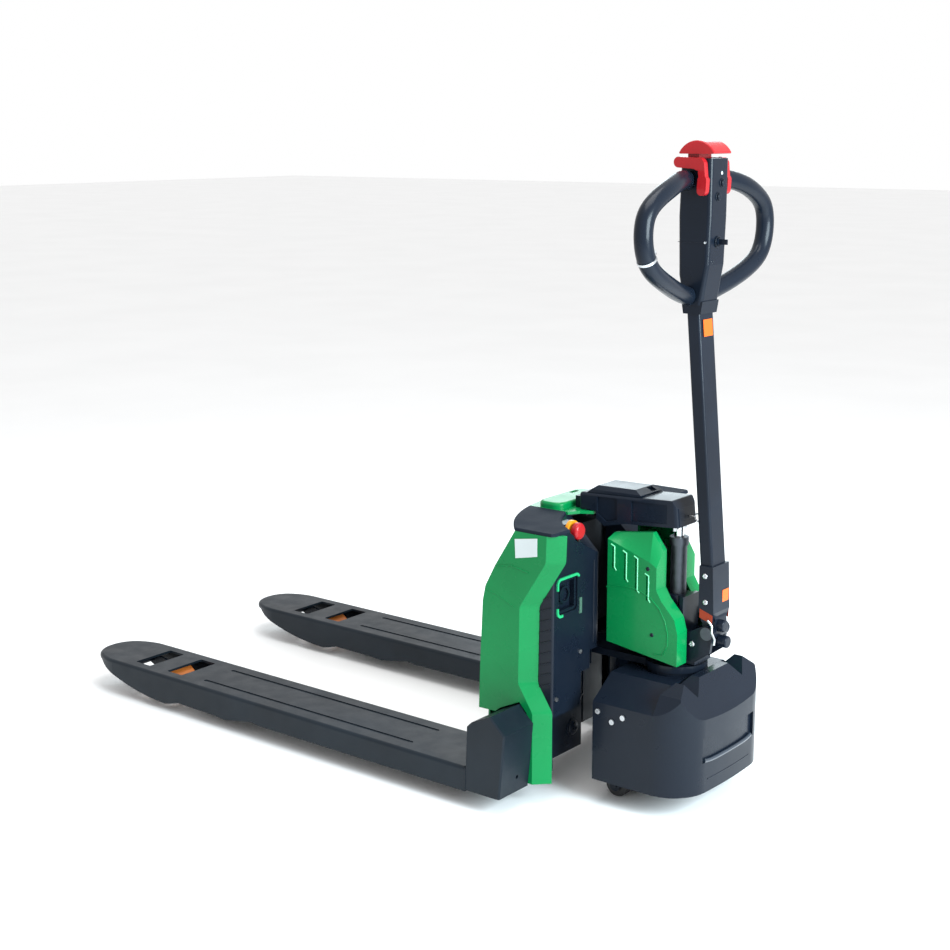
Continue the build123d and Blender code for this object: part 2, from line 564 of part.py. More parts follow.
hood_profile = [(57, 560), (57, 594), (272, 604), (283, 588), (287, 551), (235, 548), (170, 544), (118, 532),
                (98, 545), (98, 560)]
with BuildPart() as hood:
    side_slab([(HEEL_X + x, z) for x, z in hood_profile], (-HOOD_HALF_WIDTH, HOOD_HALF_WIDTH))
    fillet(hood.faces().sort_by(Axis.Z)[-1].edges(), 6)
    fillet(hood.edges().filter_by(Axis.Z).sort_by(Axis.X)[:2], 5)
    # The nose narrows so that the tiller clears it when it is steered to one side.
    for side in SIDES.values():
        with BuildSketch(Plane.XY.offset(500)) as taper:
            outline((HEEL_X + 200, side * HOOD_HALF_WIDTH), (HEEL_X + 300, side * (HOOD_HALF_WIDTH - 6)),
                    (HEEL_X + 300, side * 60), (HEEL_X + 200, side * 60))
        extrude(taper.sketch, amount=150, mode=Mode.SUBTRACT)
        panel = sorted((side * (HOOD_HALF_WIDTH - 4), side * (HOOD_HALF_WIDTH + 5)))
        side_slab([(HEEL_X + 100, 590), (HEEL_X + 148, 592), (HEEL_X + 148, 548), (HEEL_X + 122, 541),
                   (HEEL_X + 100, 556)], panel, mode=Mode.SUBTRACT)
        side_slab([(HEEL_X + 182, 592), (HEEL_X + 262, 594), (HEEL_X + 262, 556), (HEEL_X + 182, 551)], panel,
                  mode=Mode.SUBTRACT)
    nose = hood.edges().filter_by(lambda e: e.center().X > HEEL_X + 284 and abs(e.tangent_at(0.5).Z) > 0.9)
    fillet(nose, 9)
    # Inner space for the nose beam, open below and towards the mast.
    block((HEEL_X + 56, HEEL_X + 99), (-32, 32), (559, 584), mode=Mode.SUBTRACT)
    block((HEEL_X + 98, HEEL_X + 281), (-32, 32), (500, 584), mode=Mode.SUBTRACT)
save(hood, "hood")

with BuildPart() as battery_lid:
    lid_outline = [(74, 595.2), (96, 611), (184, 613), (202, 604.5), (202, 601.2)]
    side_slab([(HEEL_X + x, z) for x, z in lid_outline], (-39, 39))
    chamfer(battery_lid.edges().filter_by(Axis.X, tolerance=5).group_by(Axis.Z)[-1], 8)
    block((HEEL_X + 186, HEEL_X + 199), (6, 24), (605, 620), mode=Mode.SUBTRACT)
save(battery_lid, "battery_lid")


# ================= Base: the slew yoke that carries the mast on the kingpin ring =================

with BuildPart() as slew_yoke:
    upright(STEER_X, 0, 62, (RING_Z, RING_Z + RING_HEIGHT))
    block((HEEL_X + 43, STEER_X - 30), (-40, 40), (RING_Z, RING_Z + RING_HEIGHT))
    upright(STEER_X, 0, KINGPIN_R + RUNNING, (RING_Z - 1, RING_Z + RING_HEIGHT + 1), mode=Mode.SUBTRACT)
    block((HEEL_X + 43, HEEL_X + 67), (-34, 34), (104, RING_Z))
    cross_rod(BASE_PIN, BASE_PIN_R, (-46, 46))
save(slew_yoke, "slew_yoke")

# ================= Drive head =================

AXLE_R = 15
FORK_ARM_Y = (43, 55)                 # side plates that hold the drive axle
with BuildPart() as drive_yoke:
    block((STEER_X - 70, STEER_X + 58), (-FORK_ARM_Y[1], FORK_ARM_Y[1]), (232, 250))
    for side in SIDES.values():
        arm = [(STEER_X - 70, 250), (STEER_X + 58, 250), (STEER_X + 58, 190), (STEER_X + 30, 76),
               (STEER_X - 88, 62), (STEER_X - 88, 90)]
        side_slab(arm, sorted((side * FORK_ARM_Y[0], side * FORK_ARM_Y[1])))
    cross_rod((STEER_X, WHEEL_R), AXLE_R, (-FORK_ARM_Y[1], FORK_ARM_Y[1]))
    upright(STEER_X, 0, 58, (250, RING_Z - 0.3))
    upright(STEER_X, 0, KINGPIN_R, (RING_Z - 1, 286))
save(drive_yoke, "drive_yoke")

with BuildPart() as wheel_tyre:
    cross_rod((STEER_X, WHEEL_R), WHEEL_R, (-WHEEL_WIDTH / 2, WHEEL_WIDTH / 2))
    fillet(wheel_tyre.edges().filter_by(GeomType.CIRCLE), 4)
    cross_rod((STEER_X, WHEEL_R), 78, (-40, 40), mode=Mode.SUBTRACT)
save(wheel_tyre, "drive_wheel_tyre")

with BuildPart() as wheel_hub:
    cross_rod((STEER_X, WHEEL_R), 78, (-WHEEL_WIDTH / 2, WHEEL_WIDTH / 2))
    for side in SIDES.values():
        dish = sorted((side * 22, side * 36))
        cross_rod((STEER_X, WHEEL_R), 66, dish, mode=Mode.SUBTRACT)
        cross_rod((STEER_X, WHEEL_R), 28, sorted((side * 21, side * 42)))
    cross_rod((STEER_X, WHEEL_R), AXLE_R + RUNNING, (-43, 43), mode=Mode.SUBTRACT)
save(wheel_hub, "drive_wheel_hub")

with BuildPart() as drive_motor:
    cross_rod((STEER_X, 125), 52, (FORK_ARM_Y[1], 122))
    cross_rod((STEER_X, 125), 42, (122, 140))
    for count in range(5):
        with BuildSketch(side_plane(70 + 10 * count)) as fin:
            with Locations((STEER_X, 125)):
                Circle(56)
                Circle(50, mode=Mode.SUBTRACT)
        extrude(fin.sketch, amount=-4)
save(drive_motor, "drive_motor")

CASTER_X, CASTER_Y = CASTER_AT
with BuildPart() as caster_brackets:
    for side in SIDES.values():
        block((CASTER_X - 28, CASTER_X + 22), sorted((side * FORK_ARM_Y[1], side * 121)), (66, 74))
        for y in (82, 112):
            cheek = sorted((side * y, side * (y + 4)))
            link((CASTER_X, CASTER_R), (CASTER_X, 60), 12, cheek)
            block((CASTER_X - 12, CASTER_X + 12), cheek, (58, 67))
        cross_rod((CASTER_X, CASTER_R), 5, sorted((side * 79, side * 119)))
save(caster_brackets, "caster_brackets")

with BuildPart() as caster_wheel:
    cross_rod((CASTER_X, CASTER_R), CASTER_R, (-CASTER_Y - 11, -CASTER_Y + 11))
    fillet(caster_wheel.edges().filter_by(GeomType.CIRCLE), 2.5)
    cross_rod((CASTER_X, CASTER_R), 5 + RUNNING, (-CASTER_Y - 12, -CASTER_Y + 12), mode=Mode.SUBTRACT)
save_pair(caster_wheel, "caster_wheel")

# ---- Drive cover: straight sides, rounded front corners and sloping shoulders ----


def cover_plan(inset):
    """Plan of the drive cover, shrunk by the inset."""
    half = COVER_HALF_WIDTH - inset
    rear = STEER_X + COVER_REAR + inset
    front = STEER_X + COVER_FRONT - inset
    corner = front - COVER_BULGE
    with BuildSketch(Plane.XY.offset(COVER_BOTTOM)) as plan:
        with BuildLine():
            ThreePointArc((corner, -half), (front, 0), (corner, half))
            Polyline((corner, half), (rear, half), (rear, -half), (corner, -half))
        make_face()
        fillet(plan.vertices().sort_by(Axis.X)[-2:], COVER_CORNER_R - inset)
    return plan.sketch


def cover_solid(inset):
    """Drive cover as one solid, shrunk by the inset at the sides and the top."""
    with BuildPart() as rear_part:
        extrude(cover_plan(inset), amount=240)
        with BuildSketch(Plane.YZ.offset(STEER_X - 100)) as roof:
            outline((-COVER_HALF_WIDTH, COVER_BOTTOM), (-COVER_HALF_WIDTH, COVER_SHOULDER_Z - inset),
                    (-100, COVER_TOP - inset), (100, COVER_TOP - inset),
                    (COVER_HALF_WIDTH, COVER_SHOULDER_Z - inset), (COVER_HALF_WIDTH, COVER_BOTTOM))
        extrude(roof.sketch, amount=150, mode=Mode.INTERSECT)
    with BuildPart() as front_part:
        extrude(cover_plan(inset), amount=240)
        # Two valleys divide the crown into a middle and two shoulders.
        with BuildSketch(Plane.YZ.offset(STEER_X + 50 + inset)) as roof:
            outline((-COVER_HALF_WIDTH, COVER_BOTTOM), (-COVER_HALF_WIDTH, COVER_SHOULDER_Z - inset),
                    (-140, CROWN_Z - 20 - inset), (-112, CROWN_Z - inset), (-85, VALLEY_Z - inset),
                    (-55, CROWN_Z - inset), (55, CROWN_Z - inset), (85, VALLEY_Z - inset),
                    (112, CROWN_Z - inset), (140, CROWN_Z - 20 - inset),
                    (COVER_HALF_WIDTH, COVER_SHOULDER_Z - inset), (COVER_HALF_WIDTH, COVER_BOTTOM))
        extrude(roof.sketch, amount=100, mode=Mode.INTERSECT)
        # Seen from the side, the crown rises from the flat roof and slopes down to the front wall.
        with BuildSketch(side_plane(-COVER_HALF_WIDTH)) as slope:
            outline((STEER_X + 50 + inset, COVER_BOTTOM), (STEER_X + 50 + inset, 248 - inset),
                    (STEER_X + 68 + inset, CROWN_Z - inset), (STEER_X + 86 - inset, CROWN_Z - inset),
                    (STEER_X + 119 - inset, CREASE_Z - inset), (STEER_X + COVER_FRONT, CREASE_Z - 12 - inset),
                    (STEER_X + COVER_FRONT, COVER_BOTTOM))
        extrude(slope.sketch, amount=-2 * COVER_HALF_WIDTH, mode=Mode.INTERSECT)
    with BuildPart() as bridge:
        block((STEER_X + 40, STEER_X + 60), (-130, 130), (COVER_BOTTOM, 200))
        block((STEER_X + 40, STEER_X + 60), (-62, 62), (COVER_BOTTOM, COVER_TOP - SHELL))
    return rear_part.part + front_part.part + bridge.part


def cover_recess(inset):
    """Step in the front wall between two heights."""
    with BuildPart() as recess:
        block((STEER_X + 60, STEER_X + 140), (-98 - inset, 98 + inset), (112 - inset, 163 + inset))
        extrude(cover_plan(RECESS_DEPTH + inset), amount=300, mode=Mode.SUBTRACT)
    return recess.part


outer_cover = cover_solid(0) - cover_recess(0)
inner_cover = cover_solid(SHELL) - cover_recess(SHELL)
with BuildPart() as drive_cover:
    add(outer_cover)
    add(inner_cover, mode=Mode.SUBTRACT)
    upright(STEER_X, 0, 64, (200, 300), mode=Mode.SUBTRACT)
    rear_wall = (STEER_X + COVER_REAR - 1, STEER_X + COVER_REAR + SHELL + 1)
    block(rear_wall, (-130, 130), (49, 172), mode=Mode.SUBTRACT)
save(drive_cover, "drive_cover")

COVER_BOLTS = [(STEER_X - 75, 194), (STEER_X - 42, 179), (STEER_X - 17, 193)]
with BuildPart() as cover_bolts:
    for side in SIDES.values():
        for x, z in COVER_BOLTS:
            cross_rod((x, z), 5.5, sorted((side * COVER_HALF_WIDTH, side * (COVER_HALF_WIDTH + 3))))
save(cover_bolts, "cover_bolts")

# ---- Head frame: the steel post between the kingpin and the tiller's pivot ----

PIVOT_X, PIVOT_Z = TILLER_PIVOT
PIVOT_PIN_R = 8
with BuildPart() as head_frame:
    block((STEER_X - 100, STEER_X + 60), (-30, 30), (280, 291))
    for side in SIDES.values():
        cheek = sorted((side * 22, side * 30))
        side_slab([(STEER_X + 30, 285), (STEER_X + 30, 340), (PIVOT_X - 14, 358), (PIVOT_X + 10, 340),
                   (PIVOT_X + 6, 310), (STEER_X + 58, 285)], cheek)
        link((PIVOT_X, PIVOT_Z), (PIVOT_X - 20, PIVOT_Z - 10), 15, cheek)
    block((STEER_X + 22, STEER_X + 30), (-30, 30), (285, 412))
    block((STEER_X + 14, STEER_X + 24), (-22, 22), (396, 412))
    upright(STEER_X, 0, 25, (396, 412))
    upright(STEER_X, 0, 16, (291, 420), mode=Mode.SUBTRACT)
    upright(STEER_X, 0, KINGPIN_R, (279, 286), mode=Mode.SUBTRACT)
    cross_rod(TILLER_PIVOT, PIVOT_PIN_R, (-40, 40), mode=Mode.SUBTRACT)
save(head_frame, "head_frame")

with BuildPart() as lift_cylinder:
    upright(STEER_X, 0, 16, (291, 526))
    upright(STEER_X, 0, 19, (510, 526))
    end_rod(0, 310, 6, (STEER_X - 34, STEER_X - 10))
    upright(STEER_X, 0, ROD_PISTON_R + RUNNING, (300, 530), mode=Mode.SUBTRACT)
save(lift_cylinder, "lift_cylinder")

with BuildPart() as power_pack:
    block((STEER_X - 112, STEER_X - 34), (-58, 58), (314, 368))
    upright(STEER_X - 72, 0, 38, (368, 500))
    fillet(power_pack.faces().sort_by(Axis.Z)[-1].edges(), 8)
    upright(STEER_X - 72, 0, 14, (291, 314))
save(power_pack, "power_pack")

# ---- Green motor covers beside the lift cylinder ----

COMMON_SIDE = [(-6, 430), (6, 410), (36, 378), (44, 350), (44, 284), (-120, 306)]
OUTER_SIDE = [(-120, 517), (-22, 484), (-6, 474)] + COMMON_SIDE
INNER_SIDE = [(-120, 525), (-30, 538), (-6, 505)] + COMMON_SIDE
BEVEL_Y = 48
COVER_INNER_Y = 36
VENTS = [(-106, 458, 503), (-78, 439, 494), (-52, 421, 487), (-26, 406, 456)]


def motor_side(points):
    """Side outline of a motor cover at its place."""
    return [(STEER_X + x, z) for x, z in points]


with BuildPart() as motor_cover:
    with BuildSketch(side_plane(-MOTOR_COVER_HALF_WIDTH)):
        outline(*motor_side(OUTER_SIDE))
    with BuildSketch(side_plane(-BEVEL_Y)):
        outline(*motor_side(INNER_SIDE))
    loft(ruled=True)
    side_slab(motor_side(INNER_SIDE), (-BEVEL_Y, -COVER_INNER_Y))
    with BuildSketch(side_plane(-MOTOR_COVER_HALF_WIDTH + SHELL)) as outer_hollow:
        outline(*motor_side(OUTER_SIDE))
        offset(amount=-SHELL, kind=Kind.INTERSECTION)
    with BuildSketch(side_plane(-BEVEL_Y)) as inner_hollow:
        outline(*motor_side(INNER_SIDE))
        offset(amount=-SHELL, kind=Kind.INTERSECTION)
    loft([outer_hollow.sketch, inner_hollow.sketch], ruled=True, mode=Mode.SUBTRACT)
    extrude(inner_hollow.sketch, amount=-20, mode=Mode.SUBTRACT)
    for x, low, high in VENTS:
        block((STEER_X + x - 3.5, STEER_X + x + 3.5), (-80, -60), (low, high), mode=Mode.SUBTRACT)
save_pair(motor_cover, "motor_cover")

# ================= Tiller =================

TUBE_FOOT = (HEEL_X + 350, 430)
TUBE_END = (HEEL_X + 300, 985)
with BuildPart() as tiller_tube:
    side_slab([(TUBE_FOOT[0] - 14, TUBE_FOOT[1]), (TUBE_FOOT[0] + 14, TUBE_FOOT[1]),
               (TUBE_END[0] + 14, TUBE_END[1]), (TUBE_END[0] - 14, TUBE_END[1])], (-26.5, 26.5))
    fillet(tiller_tube.edges().filter_by(lambda e: abs(e.tangent_at(0.5).Z) > 0.9), 5)
    side_slab([(HEEL_X + 341, 372), (HEEL_X + 361, 372), (HEEL_X + 367, 392), (HEEL_X + 363, 484),
               (HEEL_X + 333, 484), (HEEL_X + 334, 392)], (-31, 31))
    link((PIVOT_X, PIVOT_Z), (PIVOT_X - 3, 376), 15, (-21.5, 21.5))
    cross_rod(TILLER_PIVOT, PIVOT_PIN_R + RUNNING, (-40, 40), mode=Mode.SUBTRACT)
save(tiller_tube, "tiller_tube")

with BuildPart() as tiller_pin:
    cross_rod(TILLER_PIVOT, PIVOT_PIN_R, (-33, 33))
    for side in SIDES.values():
        cross_rod(TILLER_PIVOT, 13, sorted((side * 30, side * 35)))
save(tiller_pin, "tiller_pin")

THROTTLE = (HEEL_X + 316, 1246)
HEAD_FACE = 337
head_side = [(281, 985), (270, 1040), (267, 1150), (270, 1256), (337, 1256), (337, 1150), (334, 1060),
             (321, 985)]
with BuildPart() as tiller_head:
    side_slab([(HEEL_X + x, z) for x, z in head_side], (-32, 32))
    fillet(tiller_head.edges().filter_by(lambda e: abs(e.tangent_at(0.5).Z) > 0.9), 8)
    side_slab([(HEEL_X + 282, 968), (HEEL_X + 320, 968), (HEEL_X + 324, 992), (HEEL_X + 278, 992)], (-30, 30))
    block((HEEL_X + 278, HEEL_X + 306), (-24, 24), (1238, 1258), mode=Mode.SUBTRACT)
    side_slab([(TUBE_END[0] - 12, 960), (TUBE_END[0] + 16.2, 960), (TUBE_END[0] + 14.2, 986),
               (TUBE_END[0] - 14.2, 986)], (-26.8, 26.8), mode=Mode.SUBTRACT)
    cross_rod(THROTTLE, 5 + RUNNING, (-40, 40), mode=Mode.SUBTRACT)
    end_rod(7, 1211, 6 + RUNNING, (HEEL_X + HEAD_FACE - 12, HEEL_X + HEAD_FACE + 1), mode=Mode.SUBTRACT)
    end_rod(-6, 1186, 6 + RUNNING, (HEEL_X + HEAD_FACE - 12, HEEL_X + HEAD_FACE + 1), mode=Mode.SUBTRACT)
    end_rod(-2, 1103, 7 + RUNNING, (HEEL_X + HEAD_FACE - 16, HEEL_X + HEAD_FACE + 1), mode=Mode.SUBTRACT)
save(tiller_head, "tiller_head")

with BuildPart() as belly_button:
    with BuildSketch(side_plane(-32)) as dome:
        with BuildLine() as border:
            ThreePointArc((HEEL_X + 264, 1264), (HEEL_X + 296, 1288), (HEEL_X + 343, 1264))
            Line((HEEL_X + 343, 1264), (HEEL_X + 264, 1264))
        make_face(border.edges())
    extrude(dome.sketch, amount=-64)
    fillet(belly_button.faces().sort_by(Axis.Z)[-1].edges(), 3)
    block((HEEL_X + 280, HEEL_X + 304), (-22, 22), (1247, 1266))
save(belly_button, "belly_button")

with BuildPart() as throttle:
    cross_rod(THROTTLE, 5, (-46, 46))
    hub_x, hub_z = THROTTLE
    for side in SIDES.values():
        wing = sorted((side * 33.5, side * 46))
        cross_rod(THROTTLE, 12, wing)
        link((hub_x - 4, hub_z + 1), (hub_x - 42, hub_z + 3), 10, wing)
        link((hub_x + 6, hub_z), (hub_x + 9, hub_z - 30), 7, wing)
        link((hub_x + 9, hub_z - 30), (hub_x + 8, hub_z - 48), 9.5, wing)
save(throttle, "throttle")

for name, y, z in (("lift_button", 7, 1211), ("lower_button", -6, 1186)):
    with BuildPart() as button:
        end_rod(y, z, 6, (HEEL_X + HEAD_FACE - 8, HEEL_X + HEAD_FACE + 5))
        fillet(button.faces().sort_by(Axis.X)[-1].edges(), 2)
    save(button, name)

with BuildPart() as key_switch:
    end_rod(-2, 1103, 7, (HEEL_X + HEAD_FACE - 12, HEEL_X + HEAD_FACE + 3))
    block((HEEL_X + HEAD_FACE + 2, HEEL_X + HEAD_FACE + 20), (-4, 0), (1098, 1108))
save(key_switch, "key_switch")

# Centreline of the near loop, from the top of the head to its foot: X from the heel, Y and Z.
LOOP_LINE = [(284, -28, 1214), (300, -80, 1216), (311, -130, 1205), (313, -178, 1186), (313, -213, 1158),
             (313, -221, 1118), (313, -203, 1072), (311, -165, 1046), (306, -122, 1028), (298, -74, 1012),
             (293, -28, 1001)]
loop_points = [Vector(HEEL_X + x, y, z) for x, y, z in LOOP_LINE]
with BuildPart() as handle_loop:
    with BuildLine() as loop_path:
        Spline(*loop_points)
    with BuildSketch(Plane(origin=loop_points[0], z_dir=loop_path.line % 0)) as loop_section:
        Circle(HANDLE_TUBE_R)
    sweep(loop_section.sketch, path=loop_path.wire())
    block((HEEL_X + 240, HEEL_X + 350), (-34.2, 0), (960, 1260), mode=Mode.SUBTRACT)
save_pair(handle_loop, "handle_loop")

BAND_AT = 0.585                       # share of the loop's length
band_plane = Plane(origin=loop_path.line @ BAND_AT, x_dir=(1, 0, 0), z_dir=loop_path.line % BAND_AT)
with BuildPart() as loop_band:
    with BuildSketch(band_plane) as band_section:
        Circle(HANDLE_TUBE_R + 1.5)
        Circle(HANDLE_TUBE_R + 0.3, mode=Mode.SUBTRACT)
    extrude(band_section.sketch, amount=2.5, both=True)
    with Locations(band_plane * Location((0, -HANDLE_TUBE_R - 5.2, 0))):
        Box(12, 7, 8)
save(loop_band, "loop_band")
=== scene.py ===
"""Battery pallet truck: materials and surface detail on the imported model, with a plain studio.

Every length is in metres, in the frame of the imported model: +X from the fork tips to the tiller,
+Y across, +Z up, origin on the floor.
"""
import json
from math import cos, pi, radians, sin
import bmesh
import bpy
from mathutils import Matrix, Vector


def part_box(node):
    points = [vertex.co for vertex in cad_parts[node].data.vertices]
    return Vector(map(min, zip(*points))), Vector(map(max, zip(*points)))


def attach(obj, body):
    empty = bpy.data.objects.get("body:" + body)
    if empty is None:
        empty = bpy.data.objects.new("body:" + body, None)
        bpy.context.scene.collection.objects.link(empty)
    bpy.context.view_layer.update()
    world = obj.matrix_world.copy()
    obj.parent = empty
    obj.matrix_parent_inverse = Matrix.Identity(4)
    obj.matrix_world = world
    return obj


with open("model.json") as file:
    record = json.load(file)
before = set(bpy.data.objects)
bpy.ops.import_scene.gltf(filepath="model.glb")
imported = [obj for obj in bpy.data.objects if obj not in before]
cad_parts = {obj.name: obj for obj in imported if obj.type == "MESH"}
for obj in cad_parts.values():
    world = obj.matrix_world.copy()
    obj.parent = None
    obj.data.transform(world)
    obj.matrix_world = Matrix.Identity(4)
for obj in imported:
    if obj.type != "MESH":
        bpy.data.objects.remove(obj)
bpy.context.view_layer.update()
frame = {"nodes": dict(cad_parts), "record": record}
NODES = frame["nodes"]

# ---- Places that several details share ----
HEEL_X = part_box("fork_near")[1].x
STEER_X = HEEL_X + 0.268
PIVOT_X = HEEL_X + 0.354              # axis that the tiller tilts about
PANEL_X = HEEL_X + 0.121
HEAD_FACE_X = HEEL_X + 0.337
SIDES = {"near": -1, "far": 1}
MOTOR_COVER_Y = 0.072
SIDE_FACE_Y = 0.248                   # outer faces of the green side covers
WALL_Y = 0.2192                       # side walls of the rear panel
SOCKET_Y = 0.031                      # sides of the tiller's socket


# ================= Camera, floor and light =================

CAMERA_AT = (2.2738, -2.6811, 1.3147)
CAMERA_AZIMUTH = 38.5
CAMERA_PITCH = -12.08
CAMERA_ROLL = -0.15
CAMERA_LENS = 61.75

camera_data = bpy.data.cameras.new("camera")
camera_data.lens = CAMERA_LENS
camera_data.sensor_width = 36.0
camera_data.clip_end = 50.0
camera = bpy.data.objects.new("camera", camera_data)
camera.matrix_world = (
    Matrix.Translation(CAMERA_AT)
    @ Matrix.Rotation(radians(CAMERA_AZIMUTH), 4, "Z")
    @ Matrix.Rotation(radians(90 + CAMERA_PITCH), 4, "X")
    @ Matrix.Rotation(radians(CAMERA_ROLL), 4, "Z")
)
bpy.context.scene.collection.objects.link(camera)
bpy.context.scene.camera = camera


def area_light(name, place, target, size, power, colour=(1.0, 1.0, 1.0)):
    """Square soft light aimed at a point."""
    data = bpy.data.lights.new(name, "AREA")
    data.size = size
    data.energy = power
    data.color = colour
    light = bpy.data.objects.new(name, data)
    light.location = place
    light.rotation_euler = (Vector(target) - Vector(place)).to_track_quat("-Z", "Y").to_euler()
    bpy.context.scene.collection.objects.link(light)


COOL = (0.78, 0.93, 1.0)
area_light("key", (3.1, -0.4, 1.5), (0.3, 0.0, 0.4), 1.5, 180, COOL)
area_light("rim", (-0.9, 2.6, 1.7), (0.3, 0.0, 0.5), 1.5, 24, COOL)
area_light("top", (0.6, -0.2, 3.4), (0.3, 0.0, 0.0), 1.8, 50)

world = bpy.data.worlds.new("studio")
world.use_nodes = True
world.node_tree.nodes["Background"].inputs["Color"].default_value = (1.0, 1.0, 1.0, 1.0)
world.node_tree.nodes["Background"].inputs["Strength"].default_value = 1.0
bpy.context.scene.world = world
bpy.context.scene.view_settings.view_transform = "Standard"


# ================= Materials =================

def new_material(name):
    """Empty node material with its principled shader and object coordinates."""
    mat = bpy.data.materials.new(name)
    mat.use_nodes = True
    tree = mat.node_tree
    shader = tree.nodes["Principled BSDF"]
    coords = tree.nodes.new("ShaderNodeTexCoord")
    return mat, tree, shader, coords.outputs["Object"]


def noise(tree, vector, scale, detail=4.0, stretch=(1, 1, 1)):
    """Noise texture with its own scale on each axis."""
    mapping = tree.nodes.new("ShaderNodeMapping")
    mapping.inputs["Scale"].default_value = stretch
    tree.links.new(vector, mapping.inputs["Vector"])
    texture = tree.nodes.new("ShaderNodeTexNoise")
    texture.inputs["Scale"].default_value = scale
    texture.inputs["Detail"].default_value = detail
    tree.links.new(mapping.outputs["Vector"], texture.inputs["Vector"])
    return texture.outputs["Fac"]


def ramp(tree, factor, low, high, low_at=0.35, high_at=0.65):
    """Two-colour ramp."""
    node = tree.nodes.new("ShaderNodeValToRGB")
    node.color_ramp.elements[0].position = low_at
    node.color_ramp.elements[0].color = (*low, 1.0)
    node.color_ramp.elements[1].position = high_at
    node.color_ramp.elements[1].color = (*high, 1.0)
    tree.links.new(factor, node.inputs["Fac"])
    return node.outputs["Color"]


def spread(tree, factor, low, high):
    """Maps a 0 to 1 factor to a range of values."""
    node = tree.nodes.new("ShaderNodeMapRange")
    node.inputs["From Min"].default_value = 0.3
    node.inputs["From Max"].default_value = 0.7
    node.inputs["To Min"].default_value = low
    node.inputs["To Max"].default_value = high
    tree.links.new(factor, node.inputs["Value"])
    return node.outputs["Result"]


def bump(tree, shader, height, distance, strength=1.0):
    """Bump of this height field, in metres."""
    node = tree.nodes.new("ShaderNodeBump")
    node.inputs["Strength"].default_value = strength
    node.inputs["Distance"].default_value = distance
    tree.links.new(height, node.inputs["Height"])
    tree.links.new(node.outputs["Normal"], shader.inputs["Normal"])


def shade(colour, factor):
    """Colour made lighter or darker."""
    return tuple(min(1.0, channel * factor) for channel in colour)


def painted(name, colour, roughness=0.38, coat=0.12):
    """Powder-coated steel: faint orange peel, patchy gloss and slight drift of colour."""
    mat, tree, shader, place = new_material(name)
    patches = noise(tree, place, 9.0, 6.0)
    tree.links.new(ramp(tree, patches, shade(colour, 0.86), shade(colour, 1.16)), shader.inputs["Base Color"])
    tree.links.new(spread(tree, noise(tree, place, 26.0), roughness - 0.07, roughness + 0.08),
                   shader.inputs["Roughness"])
    bump(tree, shader, noise(tree, place, 420.0, 2.0), 0.00012, 0.5)
    shader.inputs["Specular IOR Level"].default_value = 0.14
    shader.inputs["Coat Weight"].default_value = coat
    shader.inputs["Coat Roughness"].default_value = 0.16
    return mat


def moulded(name, colour, roughness, grain, coat=0.0):
    """Injection-moulded plastic: fine grain, slight colour drift and uneven gloss."""
    mat, tree, shader, place = new_material(name)
    drift = noise(tree, place, 5.0, 5.0)
    tree.links.new(ramp(tree, drift, shade(colour, 0.9), shade(colour, 1.1)), shader.inputs["Base Color"])
    tree.links.new(spread(tree, noise(tree, place, 18.0), roughness - 0.05, roughness + 0.06),
                   shader.inputs["Roughness"])
    bump(tree, shader, noise(tree, place, 900.0, 2.0), grain, 0.5)
    shader.inputs["Specular IOR Level"].default_value = 0.14
    shader.inputs["Coat Weight"].default_value = coat
    shader.inputs["Coat Roughness"].default_value = 0.10
    return mat


def bare_metal(name, colour, roughness, stretch=(1, 1, 1), scale=160.0, marks=0.00005):
    """Machined or cast metal: streaks or pits in gloss and height."""
    mat, tree, shader, place = new_material(name)
    shader.inputs["Metallic"].default_value = 1.0
    streaks = noise(tree, place, scale, 4.0, stretch)
    tree.links.new(ramp(tree, streaks, shade(colour, 0.85), shade(colour, 1.1)), shader.inputs["Base Color"])
    tree.links.new(spread(tree, streaks, roughness - 0.08, roughness + 0.1), shader.inputs["Roughness"])
    bump(tree, shader, streaks, marks, 0.6)
    return mat


def elastomer(name, colour, roughness):
    """Cast polyurethane or rubber: dull skin, faint scuffs round the tread."""
    mat, tree, shader, place = new_material(name)
    scuffs = noise(tree, place, 34.0, 8.0, (1, 0.25, 1))
    tree.links.new(ramp(tree, scuffs, shade(colour, 0.75), shade(colour, 1.15)), shader.inputs["Base Color"])
    tree.links.new(spread(tree, noise(tree, place, 60.0), roughness - 0.08, roughness + 0.08),
                   shader.inputs["Roughness"])
    bump(tree, shader, noise(tree, place, 240.0, 6.0), 0.0002, 0.5)
    return mat


